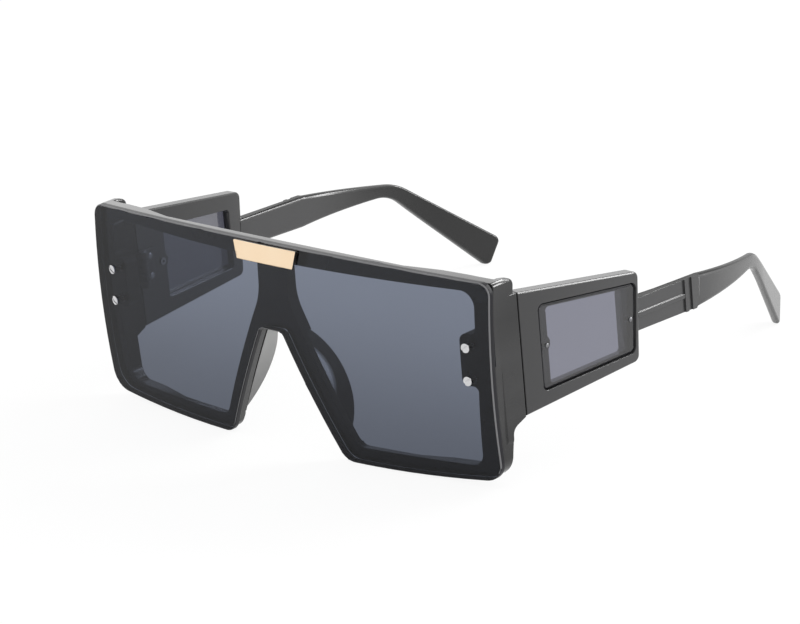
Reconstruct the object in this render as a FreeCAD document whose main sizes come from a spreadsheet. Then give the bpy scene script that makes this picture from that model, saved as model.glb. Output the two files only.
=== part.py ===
"""Oversized shield sunglasses with windowed temples, in millimetres.

The front faces -Y, the wearer's left is +X and +Z is up. The glasses stand open on a table at z 0, on the
two lens lobes and the two ear tips. Front pieces are drawn with the lens's foremost point at y 0, and temple
and hinge pieces in the joint's own frame: x out from the temple's outer face, y back from the joint, z up.
"""
import FreeCAD, Part
import os
import re
import Sketcher

SIZES = {
    # How far cutting shapes overrun, and what the splay adds to the tips' reach.
    "overrun": 5,
    "tip_spread": 1.38,
    # Shield lens, seen from the front.
    "lens_half_width": 75.1,
    "lens_foot_taper": 0.8,
    "lens_top": 59.5,
    "lens_corner_drop": 1.7,
    "lens_corner_radius": 3.5,
    "lens_foot_rise": 2.5,
    "lens_foot_radius": 6,
    "lens_foot_middle_rise": 0.6,
    "nose_drop": 24.7,
    "nose_top_half_gap": 4.1,
    "nose_top_radius": 2,
    "nose_foot_half_gap": 21.7,
    "nose_foot_radius": 5,
    # Shield lens, its thickness and its curve: a wrap about an upright axis and a bow from top to bottom.
    "lens_thickness": 2,
    "lens_wrap_radius": 440,
    "lens_bow_radius": 230,
    "lens_bow_rise": 1.75,
    "wrap_angle": 26,
    # Frame behind the lens: its rims round the eye openings and the tabs that take the lens screws.
    "lens_gap": 0.1,
    "lens_overhang": 0.4,
    "rim_top_inner": 5.5,
    "rim_top_outer": 4.9,
    "rim_side": 6.4,
    "rim_foot_side": 7.3,
    "rim_foot_outer": 2.8,
    "rim_foot_inner": 4.2,
    "rim_nose_foot": 3.3,
    "opening_inner_radius": 1,
    "opening_corner_radius": 4.5,
    "opening_foot_radius": 4,
    "bridge_half_width": 5.7,
    "bridge_knee_half_width": 5.4,
    "bridge_knee_rise": 8.8,
    "bridge_knee_radius": 15,
    "tab_below": 2.3,
    "tab_above": 3.1,
    "tab_margin": 3.6,
    "tab_radius": 2.2,
    "tab_root_radius": 1.5,
    # Back of the frame: distances behind the lens's foremost point, and in from the lens's end.
    "brow_back": 6.3,
    "shoulder_inner_in": 30.1,
    "shoulder_inner_back": 7.9,
    "shoulder_outer_in": 19.1,
    "shoulder_outer_back": 10.8,
    "wall_thickness": 3.1,
    "wall_root_back": 13.2,
    "wall_low_back": 12.3,
    "wall_high_back": 18,
    "wall_drop": 2.9,
    "wall_crest_drop": 1.8,
    "wall_radius": 2,
    "wall_corner_radius": 1.4,
    # Nose pads behind the bridge, on rims that are thinner beside the nose.
    "nose_rim_depth": 2.3,
    "pad_root": 4.2,
    "pad_low": 4.8,
    "pad_rise": 2.4,
    "pad_middle_rise": 0.5,
    "pad_back": 13.3,
    "pad_inset": 0.35,
    "pad_width": 1.2,
    "pad_flare": 0.15,
    # Gold plate on the brow.
    "plate_gap": 0.05,
    "plate_thickness": 1,
    "plate_drop": 0.5,
    "plate_height": 5.1,
    "plate_top_half_width": 11.8,
    "plate_taper": 1.3,
    "plate_radius": 0.3,
    # Lens screws and the nuts sunk in the back of the frame.
    "lens_screw_in": 7.8,
    "lens_screw_rise": 4.6,
    "screw_radius": 0.7,
    "screw_clearance": 0.05,
    "screw_head_radius": 1.3,
    "screw_head_height": 0.6,
    "screw_seat_gap": 0.05,
    "screw_end": 0.2,
    "slot_width": 0.4,
    "slot_depth": 0.3,
    "slot_turn": 40,
    "nut_depth": 5.5,
    "nut_radius": 1.4,
    "nut_thickness": 1.3,
    "nut_clearance": 0.1,
    # Joint between frame and temple, and the lug that carries the hinge.
    "joint_in": 0.2,
    "joint_setback": 0.5,
    "joint_gap": 0.3,
    "joint_low": 17.8,
    "joint_drop": 7.1,
    "temple_splay": 4,
    "lug_length": 7.5,
    "lug_neck": 5.1,
    "lug_drop": 2.1,
    "lug_foot": 8,
    "lug_radius": 2.8,
    # Temple panel with its recess, window and side lens.
    "panel_thickness": 4,
    "panel_length": 45.7,
    "panel_rear_lean": 1.8,
    "panel_drop": 7.3,
    "panel_lift": 2.2,
    "panel_radius": 2,
    "border_front": 7.1,
    "border_rear": 1.2,
    "border_front_high": 5.4,
    "border_rear_high": 2.8,
    "border_front_low": 4.6,
    "border_rear_low": 2.7,
    "recess_depth": 1.6,
    "recess_radius": 1.8,
    "window_front": 4.3,
    "window_rear": 4.5,
    "window_high": 1.7,
    "window_low": 0.7,
    "window_radius": 1.2,
    "boss_radius": 2.4,
    "side_lens_thickness": 1.2,
    "side_lens_clearance": 0.2,
    "side_rivet_front": 2.7,
    "side_rivet_front_drop": 0.6,
    "side_rivet_rear": 2.8,
    "side_rivet_rear_drop": 2.9,
    "side_rivet_radius": 0.5,
    "side_rivet_head_radius": 0.7,
    "side_rivet_head_height": 0.3,
    "side_rivet_flange_radius": 1.1,
    "side_rivet_flange_height": 0.35,
    "side_rivet_wall": 0.1,
    "side_rivet_bore_depth": 1.2,
    "rivet_clearance": 0.05,
    # Temple arm: stem, two bars and the ear end that drops and turns inwards.
    "stem_rise": 1.65,
    "stem_height": 9.2,
    "stem_length": 20.2,
    "stem_step": 1.13,
    "stem_slope": 0.069,
    "stem_sink": 0.5,
    "rib_width": 1.3,
    "rib_drop": 0.1,
    "bar_width": 1.3,
    "bar_gap": 1.7,
    "ear_lead_high": 6.5,
    "ear_lead_low": 4.6,
    "ear_start_high_drop": 1.05,
    "ear_start_low_drop": 1.15,
    "ear_length": 33,
    "ear_bend_drop": 4.75,
    "ear_bend_depth": 3.1,
    "ear_inner_bend_in": 2.6,
    "ear_bend_radius": 12,
    "ear_bend_inner_radius": 9,
    "ear_wrap_lead": 11.8,
    "ear_wrap_slope": 0.61,
    "ear_wrap_radius": 88,
    "ear_thickness": 2.8,
    "tip_length": 27.2,
    "tip_reach_height": 7.75,
    "tip_width": 3.7,
    "tip_foot": -1.01,
    "tip_radius": 2.4,
    "tip_foot_radius": 1.2,
    # Hinge: five knuckles about one screw, three on the front leaf and two on the temple leaf.
    "hinge_rise": 0.2,
    "knuckle_radius": 1.6,
    "knuckle_height": 2,
    "knuckle_gap": 0.1,
    "leaf_thickness": 0.9,
    "leaf_gap": 0.05,
    "leaf_clearance": 0.15,
    "leaf_length": 5.7,
    "leaf_rivet_margin": 1.8,
    "leaf_rivet_rise": 3,
    "leaf_rivet_radius": 0.5,
    "leaf_rivet_head_radius": 0.9,
    "leaf_rivet_head_height": 0.3,
    "leaf_rivet_depth": 1.8,
    "hinge_screw_radius": 0.7,
    "hinge_screw_clearance": 0.05,
    "hinge_screw_head_radius": 1.3,
    "hinge_screw_head_height": 0.6,
}

TIES = {
    # Heights that follow the lens's top, with the joint's lower end at a fixed height above the table.
    "joint_high": "lens_top - joint_drop",
    "hinge_height": "(joint_low + joint_high) / 2 + hinge_rise",
    "nose_top": "lens_top - nose_drop",
    "lens_bow_height": "lens_top / 2 + lens_bow_rise",
    "bow_reach": "lens_bow_height + overrun",
    "opening_top_inner": "lens_top - rim_top_inner",
    "opening_top_outer": "lens_top - rim_top_outer",
    "opening_foot_outer": "lens_foot_rise + rim_foot_outer",
    "bridge_knee": "nose_top + bridge_knee_rise",
    "lens_screw_high": "hinge_height + lens_screw_rise",
    "lens_screw_low": "hinge_height - lens_screw_rise",
    "tab_high": "lens_screw_high + tab_above",
    "tab_low": "lens_screw_low - tab_below",
    "wall_high": "lens_top - wall_drop",
    "wall_crest": "lens_top - wall_crest_drop",
    "pad_high": "nose_top + pad_rise",
    "pad_middle": "(pad_low + pad_high) / 2 + pad_middle_rise",
    "plate_top": "lens_top - plate_drop",
    "plate_low": "plate_top - plate_height",
    "panel_rear_high": "joint_high - panel_drop",
    "panel_rear_low": "joint_low + panel_lift",
    "side_rivet_front_height": "hinge_height - side_rivet_front_drop",
    "side_rivet_rear_height": "hinge_height - side_rivet_rear_drop",
    "stem_high": "hinge_height + stem_rise",
    "stem_low": "stem_high - stem_height",
    "ear_start_high_height": "stem_high - ear_start_high_drop",
    "ear_start_low_height": "stem_low - ear_start_low_drop",
    "ear_bend_high": "ear_start_high_height - ear_bend_drop",
    "ear_inner_bend_height": "ear_bend_high - ear_bend_depth",
    # Distances from the middle that follow the lens's end, the nose cut-out or the plate.
    "lens_foot_half_width": "lens_half_width - lens_foot_taper",
    "lens_foot_middle": "(nose_foot_half_gap + lens_foot_half_width) / 2",
    "opening_half_width": "lens_half_width - rim_side",
    "opening_foot_half_width": "lens_foot_half_width - rim_foot_side",
    "opening_foot_inner_half": "nose_foot_half_gap + rim_nose_foot",
    "shoulder_inner": "lens_half_width - shoulder_inner_in",
    "shoulder_outer": "lens_half_width - shoulder_outer_in",
    "wall_inner": "lens_half_width - wall_thickness",
    "plate_low_half_width": "plate_top_half_width - plate_taper",
    "lens_screw_side": "lens_half_width - lens_screw_in",
    "joint_side": "lens_half_width - joint_in",
    # Distances back from the lens's foremost point, and the origin half way along the whole.
    "joint_back": "wall_high_back + joint_setback",
    "frame_reach": "joint_back + overrun",
    "screw_length": "nut_depth + nut_thickness + screw_end",
    "origin_back": "(joint_back + tip_reach + tip_spread) / 2",
    # Distances back from the joint, each from the one before.
    "panel_low_length": "panel_length - panel_rear_lean",
    "bar_front": "panel_length + stem_length",
    "ear_start_high": "bar_front + ear_lead_high",
    "ear_start_low": "bar_front + ear_lead_low",
    "ear_bend": "ear_start_high + ear_length",
    "ear_inner_bend": "ear_bend - ear_inner_bend_in",
    "ear_wrap_start": "ear_bend - ear_wrap_lead",
    "tip_reach": "ear_bend + tip_length",
    "tip_foot_reach": "tip_reach - tip_width",
    # Lug, hinge and rivets.
    "lug_fade": "0.9 * panel_thickness",
    "hinge_inset": "knuckle_radius + leaf_clearance",
    "leaf_relief": "knuckle_radius + leaf_clearance",
    "leaf_rivet_back": "leaf_length - leaf_rivet_margin",
    "side_rivet_bore_radius": "side_rivet_radius - side_rivet_wall",
}

KNUCKLES = range(-2, 3)

doc = FreeCAD.newDocument("Sunglasses")
sheet = doc.addObject("Spreadsheet::Sheet", "Sizes")
cells = {**SIZES, **{alias: f"={text}" for alias, text in TIES.items()}}
for row, alias in enumerate(cells, start=1):
    sheet.set(f"A{row}", alias)
    sheet.setAlias(f"B{row}", alias)
for row, content in enumerate(cells.values(), start=1):
    sheet.set(f"B{row}", str(content))
doc.recompute()

nodes = []


def value(text):
    """The number that an expression on the sizes gives."""
    return float(sheet.evalExpression(text))


def bind(item, prop, text):
    """Ties a property to an expression on the sizes."""
    linked = re.sub(r"[a-z][a-z_]+", lambda word: f"Sizes.{word[0]}" if word[0] in cells else word[0], text)
    item.setExpression(prop, linked)


def minus(text):
    """The expression with its sign turned."""
    return f"-({text})"


def new_sketch(body, role, name, shift=None):
    """Sketch on one of the body's own planes, with its origin shifted by three expressions."""
    sketch = body.newObject("Sketcher::SketchObject", name)
    plane = next(item for item in body.Origin.OriginFeatures if item.Role == role)
    sketch.AttachmentSupport = [(plane, "")]
    sketch.MapMode = "FlatFace"
    for direction, text in zip("xyz", shift or ()):
        bind(sketch, f"AttachmentOffset.Base.{direction}", text)
    return sketch


def pin(sketch, element, point, spot):
    """Ties a point of a sketch to a spot given as two expressions."""
    for kind, text in zip(("DistanceX", "DistanceY"), spot):
        number = sketch.addConstraint(Sketcher.Constraint(kind, -1, 1, element, point, value(text)))
        bind(sketch, f"Constraints[{number}]", text)


def draw(sketch, corners, arcs=None):
    """Closed outline through corners; arcs gives, by edge number, a spot that a curved edge goes through."""
    spots = [FreeCAD.Vector(value(across), value(up), 0) for across, up in corners]
    edges = []
    for number, start in enumerate(spots):
        finish = spots[(number + 1) % len(spots)]
        curve = Part.LineSegment(start, finish)
        if arcs and number in arcs:
            across, up = arcs[number]
            curve = Part.Arc(start, FreeCAD.Vector(value(across), value(up), 0), finish)
        edge = sketch.addGeometry(curve, False)
        first = 1 if sketch.getPoint(edge, 1).isEqual(start, 1e-6) else 2
        edges.append((edge, first, 3 - first))
    for number, (edge, first, last) in enumerate(edges):
        before = edges[number - 1]
        sketch.addConstraint(Sketcher.Constraint("Coincident", before[0], before[2], edge, first))
        pin(sketch, edge, first, corners[number])
    for number, (across, up) in (arcs or {}).items():
        middle = sketch.addGeometry(Part.Point(FreeCAD.Vector(value(across), value(up), 0)), True)
        sketch.addConstraint(Sketcher.Constraint("PointOnObject", middle, 1, edges[number][0]))
        pin(sketch, middle, 1, (across, up))


def draw_circle(sketch, centre, radius):
    """Circle about a spot given as two expressions."""
    spot = FreeCAD.Vector(value(centre[0]), value(centre[1]), 0)
    circle = sketch.addGeometry(Part.Circle(spot, FreeCAD.Vector(0, 0, 1), value(radius)), False)
    pin(sketch, circle, 3, centre)
    number = sketch.addConstraint(Sketcher.Constraint("Radius", circle, value(radius)))
    bind(sketch, f"Constraints[{number}]", radius)


def pad(body, sketch, length, backwards=False, both_ways=False):
    """Pads a sketch by a length, along its normal, against it or half to each side."""
    feature = body.newObject("PartDesign::Pad", f"{sketch.Name}_pad")
    feature.Profile = sketch
    feature.SideType = "Symmetric" if both_ways else "One side"
    feature.Reversed = backwards
    bind(feature, "Length", length)
    return feature


def pocket(body, sketch, depth):
    """Pockets a sketch to a depth against its normal, and stops if nothing was cut."""
    doc.recompute()
    before = body.Shape.Volume
    feature = body.newObject("PartDesign::Pocket", f"{sketch.Name}_pocket")
    feature.Profile = sketch
    bind(feature, "Length", depth)
    doc.recompute()
    if body.Shape.Volume >= before:
        raise RuntimeError(f"{feature.Name} cuts nothing")


def revolve(body, sketch, axis):
    """Turns a sketch once round one of its own axes."""
    feature = body.newObject("PartDesign::Revolution", f"{sketch.Name}_turn")
    feature.Profile = sketch
    feature.ReferenceAxis = (sketch, [axis])
    feature.Angle = 360
    return feature


def round_corners(body, along, corners, radius):
    """Rounds the straight edges along an axis that stand on the given corners."""
    doc.recompute()
    base = body.Tip
    across, up = [direction for direction in "XYZ" if direction != along]
    spots = [(value(first), value(second)) for first, second in corners]
    names = []
    for number, edge in enumerate(base.Shape.Edges, start=1):
        box = edge.BoundBox
        upright = getattr(box, f"{across}Length") + getattr(box, f"{up}Length") < 1e-6
        place = (getattr(box, f"{across}Min"), getattr(box, f"{up}Min"))
        if upright and any(abs(place[0] - x) + abs(place[1] - y) < 1e-4 for x, y in spots):
            names.append(f"Edge{number}")
    if len(names) < len(spots):
        raise RuntimeError(f"{body.Name} has {len(names)} of {len(spots)} edges to round")
    feature = body.newObject("PartDesign::Fillet", f"{body.Name}_round")
    feature.Base = (base, names)
    bind(feature, "Radius", radius)


def prism(name, role, corners, length, arcs=None):
    """Body of an outline on one plane, run the given length half to each side."""
    body = doc.addObject("PartDesign::Body", name)
    sketch = new_sketch(body, role, f"{name}_outline")
    draw(sketch, corners, arcs)
    pad(body, sketch, length, both_ways=True)
    return body


def box(name, low, high):
    """Box between two corners, each given as three expressions."""
    item = doc.addObject("Part::Box", name)
    for size, direction, start, end in zip(("Length", "Width", "Height"), "xyz", low, high):
        bind(item, size, f"({end}) - ({start})")
        bind(item, f"Placement.Base.{direction}", start)
    return item


def rod(name, base, along, radius, length):
    """Cylinder from a base spot along an axis."""
    item = doc.addObject("Part::Cylinder", name)
    item.Placement.Rotation = FreeCAD.Rotation(FreeCAD.Vector(0, 0, 1), along)
    for direction, text in zip("xyz", base):
        bind(item, f"Placement.Base.{direction}", text)
    bind(item, "Radius", radius)
    bind(item, "Height", length)
    return item


def fuse(name, shapes):
    item = doc.addObject("Part::MultiFuse", name)
    item.Shapes = shapes
    return item


def common(name, shapes):
    item = doc.addObject("Part::MultiCommon", name)
    item.Shapes = shapes
    return item


def cut(name, base, tool):
    item = doc.addObject("Part::Cut", name)
    item.Base = base
    item.Tool = tool
    return item


def group(name, shapes):
    item = doc.addObject("Part::Compound", name)
    item.Links = shapes
    return item


def place_on_front(item):
    """Moves a finished front piece so that the origin lies under the middle of the whole."""
    bind(item, "Placement.Base.y", "-origin_back")
    nodes.append(item)


def place_at_joint(item, back="joint_back - origin_back"):
    """Sets a piece drawn in the joint's frame against the joint on the wearer's left."""
    bind(item, "Placement.Base.x", "joint_side")
    bind(item, "Placement.Base.y", back)
    bind(item, "Placement.Rotation.Angle", "-temple_splay")


def mirror(item, name):
    """The same piece on the wearer's right."""
    twin = doc.addObject("Part::Mirroring", name)
    twin.Source = item
    twin.Normal = FreeCAD.Vector(1, 0, 0)
    return twin


def both_sides(item, name):
    """Keeps a placed left piece as a node, with its twin on the right."""
    item.Label = f"{name}_left"
    nodes.extend([item, mirror(item, f"{name}_right")])


def bowed_band(name, near, far=None):
    """Band between two depths behind the lens's front, curved as it is; without far, its back is flat."""
    body = doc.addObject("PartDesign::Body", name)
    sketch = new_sketch(body, "YZ_Plane", f"{name}_profile", ("lens_wrap_radius", "0", "0"))

    def at_end(depth):
        return (f"lens_bow_radius - lens_wrap_radius"
                f" - sqrt((lens_bow_radius - ({depth}))^2 - bow_reach^2)")

    low = "lens_bow_height - bow_reach"
    high = "lens_bow_height + bow_reach"
    arcs = {0: (f"({near}) - lens_wrap_radius", "lens_bow_height")}
    back = "frame_reach - lens_wrap_radius"
    if far is not None:
        arcs[2] = (f"({far}) - lens_wrap_radius", "lens_bow_height")
        back = at_end(far)
    draw(sketch, [(at_end(near), low), (at_end(near), high), (back, high), (back, low)], arcs)
    feature = body.newObject("PartDesign::Revolution", f"{name}_turn")
    feature.Profile = sketch
    feature.ReferenceAxis = (sketch, ["V_Axis"])
    feature.Midplane = True
    bind(feature, "Angle", "wrap_angle")
    return body


def lens_corners(inset):
    """Corners and curved edges of the lens outline, drawn in by an inset, with a name for each corner."""
    half = {
        "nose_top": (f"nose_top_half_gap + {inset}", f"nose_top + {inset}"),
        "nose_foot": (f"nose_foot_half_gap + {inset}", f"{inset}"),
        "foot": (f"lens_foot_half_width - {inset}", f"lens_foot_rise + {inset}"),
        "top": (f"lens_half_width - {inset}", f"lens_top - lens_corner_drop - {inset}"),
    }
    left = [half[name] for name in ("nose_top", "nose_foot", "foot", "top")]
    right = [(minus(across), up) for across, up in reversed(left)]
    foot_middle = ("lens_foot_middle", f"lens_foot_middle_rise + {inset}")
    arcs = {
        1: foot_middle,
        3: ("0", f"lens_top - {inset}"),
        5: (minus(foot_middle[0]), foot_middle[1]),
    }
    pairs = {name: [(across, up), (minus(across), up)] for name, (across, up) in half.items()}
    return left + right, arcs, pairs


def round_lens_outline(body, pairs, top_radius):
    """Rounds the corners that the lens and the frame behind it share, the top ones by their own radius."""
    round_corners(body, "Y", pairs["top"], top_radius)
    round_corners(body, "Y", pairs["foot"], "lens_foot_radius")
    round_corners(body, "Y", pairs["nose_foot"], "nose_foot_radius")
    round_corners(body, "Y", pairs["nose_top"], "nose_top_radius")


THROUGH_FRONT = "2 * (frame_reach + overrun)"
ACROSS_ALL = "2 * (lens_half_width + overrun)"
OVER_ALL = "2 * (lens_top + overrun)"


def lens_front_at(height):
    """How far back the lens's front lies at a lens screw of the given height."""
    bow = f"lens_bow_radius - sqrt(lens_bow_radius^2 - ({height} - lens_bow_height)^2)"
    return f"lens_wrap_radius - sqrt((lens_wrap_radius - ({bow}))^2 - lens_screw_side^2)"


def place_on_lens(item, height, back="0"):
    """Stands a piece drawn about the y axis square on the lens's front at a lens screw on the left."""
    bind(item, "Placement.Base.x", "lens_screw_side")
    bind(item, "Placement.Base.y", f"{lens_front_at(height)} - ({back})")
    bind(item, "Placement.Base.z", height)
    bind(item, "Placement.Rotation.Angle", "asin(lens_screw_side / lens_wrap_radius)")


def turned_pin(name, profile):
    """Body turned about the y axis from a profile of (radius, depth) corners."""
    body = doc.addObject("PartDesign::Body", name)
    sketch = new_sketch(body, "XY_Plane", f"{name}_profile")
    draw(sketch, profile)
    revolve(body, sketch, "V_Axis")
    return body


LENS_SCREWS = {"upper": "lens_screw_high", "lower": "lens_screw_low"}


def screw_holes(name):
    """Clearance holes for the four lens screws, with the nut pockets in the back of the frame."""
    holes = []
    for place, height in LENS_SCREWS.items():
        hole = turned_pin(f"{name}_{place}", [
            ("0", "-overrun"),
            ("screw_radius + screw_clearance", "-overrun"),
            ("screw_radius + screw_clearance", "nut_depth"),
            ("nut_radius + nut_clearance", "nut_depth"),
            ("nut_radius + nut_clearance", "frame_reach"),
            ("0", "frame_reach"),
        ])
        place_on_lens(hole, height)
        holes.extend([hole, mirror(hole, f"{name}_{place}_right")])
    return fuse(name, holes)


def make_lens():
    """Tinted shield lens: one curved sheet cut to the outline of the whole front."""
    corners, arcs, pairs = lens_corners("0")
    outline = prism("lens_outline", "XZ_Plane", corners, THROUGH_FRONT, arcs)
    round_lens_outline(outline, pairs, "lens_corner_radius")
    sheet_of_lens = bowed_band("lens_sheet", "0", "lens_thickness")
    blank = common("lens_blank", [sheet_of_lens, outline])
    place_on_front(cut("shield_lens", blank, screw_holes("lens_holes")))


def make_brow_plate():
    """Gold plate: a thin trapezoid that follows the lens's curve on the middle of the brow."""
    top = ("plate_top_half_width", "plate_top")
    low = ("plate_low_half_width", "plate_low")
    corners = [low, top, (minus(top[0]), top[1]), (minus(low[0]), low[1])]
    outline = prism("plate_outline", "XZ_Plane", corners, THROUGH_FRONT)
    round_corners(outline, "Y", corners, "plate_radius")
    skin = bowed_band("plate_skin", "-(plate_gap + plate_thickness)", "-plate_gap")
    place_on_front(common("brow_plate", [skin, outline]))


def make_frame_outline():
    """Front view of the frame: the lens outline drawn in, with an eye opening on each side of the bridge."""
    corners, arcs, pairs = lens_corners("lens_overhang")
    body = doc.addObject("PartDesign::Body", "frame_outline")
    sketch = new_sketch(body, "XZ_Plane", "frame_outline_sketch")
    draw(sketch, corners, arcs)
    tab_edge = "lens_screw_side - tab_margin"
    rounding = {
        "opening_inner_radius": [("bridge_half_width", "opening_top_inner")],
        "opening_corner_radius": [("opening_half_width", "opening_top_outer")],
        "tab_root_radius": [("opening_half_width", "tab_high"), ("opening_half_width", "tab_low")],
        "tab_radius": [(tab_edge, "tab_high"), (tab_edge, "tab_low")],
        "opening_foot_radius": [("opening_foot_half_width", "opening_foot_outer"),
                                ("opening_foot_inner_half", "rim_foot_inner")],
        "bridge_knee_radius": [("bridge_knee_half_width", "bridge_knee")],
    }
    opening = [
        *rounding["opening_inner_radius"],
        *rounding["opening_corner_radius"],
        ("opening_half_width", "tab_high"),
        (tab_edge, "tab_high"),
        (tab_edge, "tab_low"),
        ("opening_half_width", "tab_low"),
        *rounding["opening_foot_radius"],
        *rounding["bridge_knee_radius"],
    ]
    draw(sketch, opening)
    draw(sketch, [(minus(across), up) for across, up in opening])
    pad(body, sketch, THROUGH_FRONT, both_ways=True)
    round_lens_outline(body, pairs, "wall_corner_radius")
    for radius, spots in rounding.items():
        round_corners(body, "Y", spots + [(minus(across), up) for across, up in spots], radius)
    return body


def make_frame_back():
    """Plan and side views of the frame's back: thin at the brow, deeper at the shoulders and end walls."""
    rear = [
        ("lens_half_width + overrun", "frame_reach"),
        ("wall_inner", "frame_reach"),
        ("wall_inner", "wall_root_back"),
        ("shoulder_outer", "shoulder_outer_back"),
        ("shoulder_inner", "shoulder_inner_back"),
    ]
    corners = [("lens_half_width + overrun", "-overrun"), *rear]
    corners += [(minus(across), back) for across, back in reversed(corners)]
    plan = prism("frame_plan", "XY_Plane", corners, OVER_ALL, {len(rear): ("0", "brow_back")})
    side = prism("frame_side", "YZ_Plane", [
        ("-overrun", "-overrun"),
        ("wall_low_back", "-overrun"),
        ("wall_low_back", "0"),
        ("wall_high_back", "wall_high"),
        ("wall_root_back", "wall_crest"),
        ("wall_root_back", "lens_top + overrun"),
        ("-overrun", "lens_top + overrun"),
    ], ACROSS_ALL)
    round_corners(side, "X", [("wall_high_back", "wall_high")], "wall_radius")
    return [plan, side]


def make_lug():
    """Lug that carries the hinge: as tall as the temple's front end, swept and faded into the wall below."""
    body = doc.addObject("PartDesign::Body", "lug")
    sketch = new_sketch(body, "YZ_Plane", "lug_outline")
    neck = ("-lug_neck", "joint_low - lug_drop")
    draw(sketch, [
        ("0", "joint_low"),
        ("0", "joint_high"),
        ("-lug_length", "joint_high"),
        ("-lug_length", "joint_low - lug_foot"),
        ("-lug_neck", "joint_low - lug_foot"),
        neck,
    ])
    pad(body, sketch, "panel_thickness", backwards=True)
    round_corners(body, "X", [neck], "lug_radius")
    round_corners(body, "Y", [("0", "joint_low - lug_foot")], "lug_fade")
    place_at_joint(body, "joint_back")
    return body


def make_nose_relief():
    """What is taken off the back of the rims beside the nose, between the pads' feet and the bridge."""
    window = box("relief_window",
                 ("-opening_foot_inner_half", "0", "pad_low"),
                 ("opening_foot_inner_half", "frame_reach", "nose_top"))
    behind = bowed_band("relief_bulk", "lens_thickness + lens_gap + nose_rim_depth")
    return common("nose_relief", [window, behind])


def make_nose_pads(bulk):
    """Nose pads: two strips along the nose cut-out that run back and outwards, rounded at the back."""
    def nose_edge(height):
        return (f"nose_top_half_gap + lens_overhang + pad_inset"
                f" + (nose_foot_half_gap - nose_top_half_gap) * (1 - ({height}) / nose_top)")

    strip = doc.addObject("PartDesign::Body", "pad_strip")
    sketch = new_sketch(strip, "XZ_Plane", "pad_strip_outline", ("0", "0", "-pad_root"))
    draw(sketch, [
        (nose_edge("pad_low"), "pad_low"),
        (f"{nose_edge('pad_low')} + pad_width", "pad_low"),
        (f"{nose_edge('pad_high')} + pad_width", "pad_high"),
        (nose_edge("pad_high"), "pad_high"),
    ])
    feature = pad(strip, sketch, "pad_back")
    feature.UseCustomVector = True
    feature.Direction = FreeCAD.Vector(0, 1, 0)
    bind(feature, "Direction.x", "pad_flare")

    side = prism("pad_side", "YZ_Plane", [("pad_root", "pad_low"), ("pad_root", "pad_high")], ACROSS_ALL,
                 {1: ("pad_back", "pad_middle")})
    left = common("nose_pad", [strip, side, bulk])
    return [left, mirror(left, "nose_pad_twin")]


def leaf_rivet_spots(back):
    """Where a leaf's two rivets stand, as distances back from the joint and heights."""
    return [(back, "hinge_height - leaf_rivet_rise"), (back, "hinge_height + leaf_rivet_rise")]


def leaf_rivet_holes(name, back):
    """Blind holes in a lug or a temple for the rivets of its leaf."""
    start = "-panel_thickness - leaf_thickness - overrun"
    depth = "leaf_rivet_depth + rivet_clearance + leaf_thickness + overrun"
    holes = []
    for number, (along, up) in enumerate(leaf_rivet_spots(back)):
        holes.append(rod(f"{name}_{number}", (start, along, up), FreeCAD.Vector(1, 0, 0),
                         "leaf_rivet_radius + rivet_clearance", depth))
    return fuse(name, holes)


def make_frame():
    """Black frame behind the lens: rims, brow and bridge, with the lugs and the nose pads moulded on."""
    bulk = bowed_band("frame_bulk", "lens_thickness + lens_gap")
    blank = common("frame_blank", [bulk, make_frame_outline(), *make_frame_back()])
    core = cut("frame_core", blank, make_nose_relief())
    lug = make_lug()
    rivet_holes = leaf_rivet_holes("lug_holes", "-leaf_rivet_back")
    place_at_joint(rivet_holes, "joint_back")
    whole = fuse("frame_whole", [core, lug, mirror(lug, "lug_twin"), *make_nose_pads(bulk)])
    holes = fuse("frame_holes", [
        screw_holes("tab_holes"),
        rivet_holes,
        mirror(rivet_holes, "lug_holes_twin"),
    ])
    place_on_front(cut("front_frame", whole, holes))


def make_lens_screws():
    """Slotted screws through lens and tab, each with a round nut in its pocket."""
    for place, height in LENS_SCREWS.items():
        head = "-screw_seat_gap - screw_head_height"
        screw = turned_pin(f"lens_screw_{place}", [
            ("0", head),
            ("screw_head_radius", head),
            ("screw_head_radius", "-screw_seat_gap"),
            ("screw_radius", "-screw_seat_gap"),
            ("screw_radius", "screw_length"),
            ("0", "screw_length"),
        ])
        slot = new_sketch(screw, "XZ_Plane", f"lens_screw_{place}_slot", ("0", "0", minus(head)))
        bind(slot, "AttachmentOffset.Rotation.Angle", "slot_turn")
        reach = "screw_head_radius + screw_head_height"
        draw(slot, [(minus(reach), "-slot_width / 2"), (reach, "-slot_width / 2"),
                    (reach, "slot_width / 2"), (minus(reach), "slot_width / 2")])
        pocket(screw, slot, "slot_depth")
        nut = turned_pin(f"lens_nut_{place}", [
            ("screw_radius + screw_clearance", "nut_depth + screw_seat_gap"),
            ("nut_radius", "nut_depth + screw_seat_gap"),
            ("nut_radius", "nut_depth + screw_seat_gap + nut_thickness"),
            ("screw_radius + screw_clearance", "nut_depth + screw_seat_gap + nut_thickness"),
        ])
        for kind, item in (("screw", screw), ("nut", nut)):
            place_on_lens(item, height, "origin_back")
            item.Label = f"lens_{kind}_left_{place}"
            nodes.extend([item, mirror(item, f"lens_{kind}_right_{place}")])


RECESS_FRONT = "border_front"
RECESS_REAR_HIGH = "panel_length - border_rear"
RECESS_REAR_LOW = "panel_low_length - border_rear"


def recess_edge(back, front_height, rear_height, rear):
    """Height of the recess's upper or lower edge at a distance back from the joint."""
    return (f"({front_height}) + (({rear_height}) - ({front_height}))"
            f" * (({back}) - {RECESS_FRONT}) / ({rear} - {RECESS_FRONT})")


def recess_high(back):
    return recess_edge(back, "joint_high - border_front_high", "panel_rear_high - border_rear_high",
                       RECESS_REAR_HIGH)


def recess_low(back):
    return recess_edge(back, "joint_low + border_front_low", "panel_rear_low + border_rear_low",
                       RECESS_REAR_LOW)


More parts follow.
